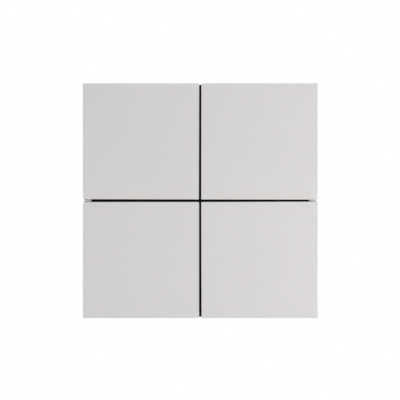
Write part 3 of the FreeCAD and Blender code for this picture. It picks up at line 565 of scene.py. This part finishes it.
# The leaf is the CAD strip itself, as a copy with its doubles merged.
def makeLeaves():
    for corner, (sideX, _) in corners.items():
        node = "return_leaf_" + corner
        piece = mergedCopy(node, "leaf_" + corner)
        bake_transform(piece)
    print("return leaves:", len(corners))


solder = {
    "radius": 0.75, "height": 0.35, "pinRadius": 0.28, "pinHeight": 0.12,
    "bell": 1.5,                            # the power of the height's rise
    "rings": 6, "around": 12,
    # on the back of the button board, as (x, z) in its upper right quarter
    "places": [(16.6, 24.3), (19.0, 24.3), (24.3, 16.6), (24.3, 19.0), (36.9, 3.2), (36.9, 5.6)],
}


# Dome of solder on a pin, turned round y: its height rises with a power of the step, its radius falls to the
# pin's with the sine of a quarter turn, and the pin's cut end stands out of its top.
def domeSkin():
    radius, height, pinRadius, pinHeight = [solder[key] * mm for key in (
        "radius", "height", "pinRadius", "pinHeight")]
    step = np.linspace(0, 1, solder["rings"])
    ringRadius = np.append(pinRadius + (radius - pinRadius) * (1 - np.sin(step * math.pi / 2)), pinRadius)
    ringHeight = np.append(height * step ** solder["bell"], height + pinHeight)
    turn = np.linspace(0, 2 * math.pi, solder["around"], endpoint=False)
    x = ringRadius[:, None] * np.cos(turn)[None, :]
    z = ringRadius[:, None] * np.sin(turn)[None, :]
    y = np.broadcast_to(ringHeight[:, None], x.shape)
    return np.stack([x, y, z], -1).reshape(-1, 3), skinFaces(len(ringRadius), solder["around"])


def makeSolder():
    places = mirroredPlaces(solder["places"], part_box("button_board")[1].y)
    addPiece("solderJoints", *scattered(*domeSkin(), places), "button_board", slot="tin_plated")
    print("solder joints:", len(places))


resistors = {
    "places": [(21.9, 22.6, 0), (21.9, 20.9, 0), (23.8, 14.2, 1)],      # x, z, 1 when it stands upright
    "length": 1.6, "width": 0.8, "height": 0.4, "capLength": 0.3, "edge": 0.05,
    "bodyShare": 0.92,                      # the body's height, as a share of the caps'
    "capShare": 1.02,                       # the caps' width, as a share of the body's
    "cornerSteps": 3,
}


# Chip resistors: a dark body between two tinned caps, each a small slab with worked edges.
def makeResistors():
    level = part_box("button_board")[1].y
    length, width, height, cap, edge = [resistors[key] * mm for key in (
        "length", "width", "height", "capLength", "edge")]
    bodySize = length - 2 * cap, width, height * resistors["bodyShare"]
    capSize = cap, width * resistors["capShare"], height
    capPlace = (length - cap) / 2 / mm
    for name, slot, size, shifts in (("resistorBodies", "chip_black", bodySize, [0]),
                                     ("resistorCaps", "tin_plated", capSize, [-capPlace, capPlace])):
        long, wide, tall = size
        rows = [(0, level - edge), (0, level + tall - edge), (edge, level + tall)]
        skins = []
        for x, z, upright in resistors["places"]:
            half = (wide / 2, long / 2) if upright else (long / 2, wide / 2)
            skin = slabSkin(*half, edge, rows, steps=resistors["cornerSteps"])
            moved = [(x, z + shift) if upright else (x + shift, z) for shift in shifts]
            skins.append(scattered(*skin, mirroredPlaces(moved)))
        addPiece(name, *joined(skins), "button_board", slot=slot)
    print("chip resistors:", 4 * len(resistors["places"]))


# A bent strip: a rectangle of the given width and thickness is carried along a path in the YZ plane, square
# to the path's direction at each point.
def stripSkin(path, width, thickness):
    along = np.gradient(path, axis=0)
    along /= np.linalg.norm(along, axis=1, keepdims=True)
    across = np.stack([-along[:, 1], along[:, 0]], -1) * thickness / 2
    sideX = np.array([-1, 1, 1, -1]) * width / 2
    sideN = np.array([-1, -1, 1, 1])
    y = path[:, None, 0] + sideN[None, :] * across[:, None, 0]
    z = path[:, None, 1] + sideN[None, :] * across[:, None, 1]
    x = np.broadcast_to(sideX[None, :], y.shape)
    return np.stack([x, y, z], -1).reshape(-1, 3), skinFaces(len(path), 4)


clamps = {
    "width": 1.2, "thickness": 0.16,
    "start": 1.1, "reach": 2.6,             # below the pole's back, and from there into the entry
    "rise": 0.7, "lean": 1.0, "bend": 1.4,  # from the entry's middle, how far it leans, and with which power
    "pitchX": 2.6, "pitchZ": 5.8,           # between the entries of a pole
    "steps": 7,
}


# The springy tongue that holds a wire, seen inside each entry: it starts at the entry's outer side and leans
# across it with a power of its length.
def makeClamps():
    pitchX, pitchZ = clamps["pitchX"] * mm, clamps["pitchZ"] * mm
    run = np.linspace(0, 1, clamps["steps"])
    for pole in ("red", "dark"):
        node = "terminal_pole_" + pole
        low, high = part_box("terminal_contact_" + pole)
        middle = (low.x + high.x) / 2, (low.z + high.z) / 2
        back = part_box(node)[1].y
        for up, side in ((-1, "_lower"), (1, "_upper")):
            y = back - (clamps["start"] + clamps["reach"] * run) * mm
            z = up * (clamps["rise"] - clamps["lean"] * run ** clamps["bend"]) * mm
            skin = stripSkin(np.stack([y, z], -1), clamps["width"] * mm, clamps["thickness"] * mm)
            level = middle[1] + up * pitchZ / 2
            places = [(middle[0] + across * pitchX / 2, 0, level) for across in (-1, 1)]
            addPiece("clamp_" + pole + side, *scattered(*skin, places), node, smooth=False, slot="tin_plated")
    print("wire clamps: 8")


partingLines = {
    "lines": {
        "rear_housing": {"level": 14.5, "half": 0.12, "proud": 0.05, "corner": 9.5},
        "base_frame": {"level": -1.6, "half": 0.1, "proud": 0.04, "corner": 0.8},
    },
    "sink": 0.3, "flatShare": 0.3,          # how deep a line is rooted, and its flat top's share of the width
}


# The faint ridge that a mould leaves where its halves meet: a low roof carried round the square with cut
# corners. A row of it is that outline, grown by the row's rise.
def makePartingLines():
    sink, flat = partingLines["sink"], partingLines["flatShare"]
    for node, line in partingLines["lines"].items():
        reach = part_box(node)[1].x
        short = reach - line["corner"] * mm
        outline = np.array([(reach, short), (short, reach), (-short, reach), (-reach, short),
                            (-reach, -short), (-short, -reach), (short, -reach), (reach, -short)])
        proud = line["proud"]
        rows = np.array([(-sink, -1), (0, -1), (proud, -flat), (proud, flat), (0, 1), (-sink, 1)])
        grow = 1 + rows[:, 0] * mm / reach
        y = (line["level"] + rows[:, 1] * line["half"]) * mm
        x = grow[:, None] * outline[None, :, 0]
        z = grow[:, None] * outline[None, :, 1]
        points = np.stack([x, np.broadcast_to(y[:, None], x.shape), z], -1).reshape(-1, 3)
        faces = skinFaces(len(rows), len(outline), ring=True)
        addPiece("partingLine_" + node, points, faces, node, smooth=False)
    print("parting lines:", len(partingLines["lines"]))


ejectors = {"radius": 1.6, "proud": 0.05, "sink": 0.2, "edge": 0.03, "places": [(10.5, 17.5), (17.5, 8.0)]}


# Round marks of the mould's ejector pins on the back of the housing: low discs.
def makeEjectorMarks():
    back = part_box("rear_housing")[1].y
    radius, proud, sink, edge = [ejectors[key] * mm for key in ("radius", "proud", "sink", "edge")]
    rows = [(0, back - sink), (0, back + proud - edge), (edge, back + proud)]
    skin = slabSkin(radius, radius, radius, rows)
    places = mirroredPlaces(ejectors["places"])
    addPiece("ejectorMarks", *scattered(*skin, places), "rear_housing", smooth=False)
    print("ejector marks:", len(places))


makePlates()
softenPieces()
makeLeaves()
makeSolder()
makeResistors()
makeClamps()
makePartingLines()
makeEjectorMarks()


# lengths in metres
studio = {
    "floorDrop": 0.1,                       # the floor's level below the panel's middle
    "floorSide": 8.0,
    "floorColour": (0.9, 0.9, 0.9), "floorWaver": 0.01,
    "floorGrain": 20.0,                     # in millimetres
    "floorGlow": (0.45, 1.0),               # share of plain white in the floor below the panel, and far off
    "glowReach": (0.12, 0.42),              # from the middle, where that share starts and ends its rise
    "roomLight": 0.234,                     # plain light from all round
}
lampsAround = {
    "keyLamp": {"place": (0.32, -0.34, -0.06), "size": (0.12, 0.06), "watts": 1.21},
    "fillLamp": {"place": (-0.3, -0.32, -0.06), "size": (0.1, 0.06), "watts": 0.3},
    "topLamp": {"place": (0.1, 0.2, 1.3), "size": (1.1, 1.1), "watts": 9.0},
    "backLamp": {"place": (-0.5, 1.1, 0.6), "size": (2.2, 2.2), "watts": 5.0},
}


# 1 for rays that should see plain white: from the camera, or mirrored or passed on by a piece
def seenWhite(tree):
    path = tree.node("LightPath")
    seen = path.beside("Is Camera Ray") + path.beside("Is Glossy Ray")
    return (seen + path.beside("Is Transmission Ray")).clipped()


def makeFloor():
    half = studio["floorSide"] / 2
    level = -studio["floorDrop"]
    mesh = bpy.data.meshes.new("floor")
    mesh.from_pydata([(-half, -half, level), (half, -half, level), (half, half, level), (-half, half, level)],
                     [], [(0, 1, 2, 3)])
    floor = linkedObject("floor", mesh)
    material, tree = newFinish("floorPaint")
    fine = grainOf(tree, objectPlace(tree), studio["floorGrain"])
    colour = studio["floorColour"]
    tone = blended(tree, fine, shaded(colour, 1 - studio["floorWaver"]), colour)
    paint = tree.node("BsdfDiffuse", {}, {"Color": tone})
    glow = tree.node("Emission", {}, {"Color": (1, 1, 1, 1), "Strength": 1.0})
    away = tree.node("VectorMath", {"operation": "LENGTH"}, {0: objectPlace(tree, (1, 1, 0))}, "Value")
    near, far = studio["glowReach"]
    low, high = studio["floorGlow"]
    rise = ((away - near) / (far - near)).clipped()
    share = seenWhite(tree) * (low + rise * (high - low))
    upper = tree.node("MixShader", {}, {0: share, 1: paint, 2: glow})
    below = tree.node("NewGeometry", output="Backfacing")
    clear = tree.node("BsdfTransparent")
    oneSided = tree.node("MixShader", {}, {0: below, 1: upper, 2: clear})       # seen through from below
    tree.node("OutputMaterial", {}, {"Surface": oneSided})
    mesh.materials.append(material)


def makeRoom():
    world = bpy.data.worlds.new("room")
    bpy.context.scene.world = world
    world.use_nodes = True
    world.node_tree.nodes.clear()
    tree = Wire(world.node_tree)
    seen = seenWhite(tree)
    strength = seen + (1 - seen) * studio["roomLight"]
    light = tree.node("Background", {}, {"Color": (1, 1, 1, 1), "Strength": strength})
    tree.node("OutputWorld", {}, {"Surface": light})


# each lamp faces the panel's middle
def makeLamps():
    for name, lamp in lampsAround.items():
        light = bpy.data.lights.new(name, "AREA")
        light.shape = "RECTANGLE"
        light.size, light.size_y = lamp["size"]
        light.energy = lamp["watts"]
        holder = linkedObject(name, light)
        holder.visible_camera = False
        place = np.array(lamp["place"])
        holder.location = place
        away = place / np.linalg.norm(place)
        holder.rotation_euler = (math.acos(away[2]), 0, math.atan2(away[1], away[0]) + math.pi / 2)
    print("lamps:", len(lampsAround))


view = {
    "lens": 800.0,                          # long lens: the panel is seen square on
    "sensor": 36.0,
    "frameWidth": 138.04,                   # across the picture, at the key faces
    "middle": (-0.09, 0.26),                # the picture's middle on the key faces
    "nearest": 10.0, "farthest": 50000.0,
}


def makeCamera():
    camera = bpy.data.cameras.new("camera")
    camera.lens = view["lens"]
    camera.sensor_width = view["sensor"]
    camera.clip_start = view["nearest"] * mm
    camera.clip_end = view["farthest"] * mm
    holder = linkedObject("camera", camera)
    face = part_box("key_plate_upper_left")[0].y
    away = view["lens"] / view["sensor"] * view["frameWidth"] * mm
    holder.location = (view["middle"][0] * mm, face - away, view["middle"][1] * mm)
    holder.rotation_euler = (math.pi / 2, 0, 0)
    bpy.context.scene.camera = holder


makeFloor()
makeRoom()
makeLamps()
makeCamera()
bpy.context.scene.view_settings.view_transform = "Standard"
print("studio: floor, room, lamps and camera")
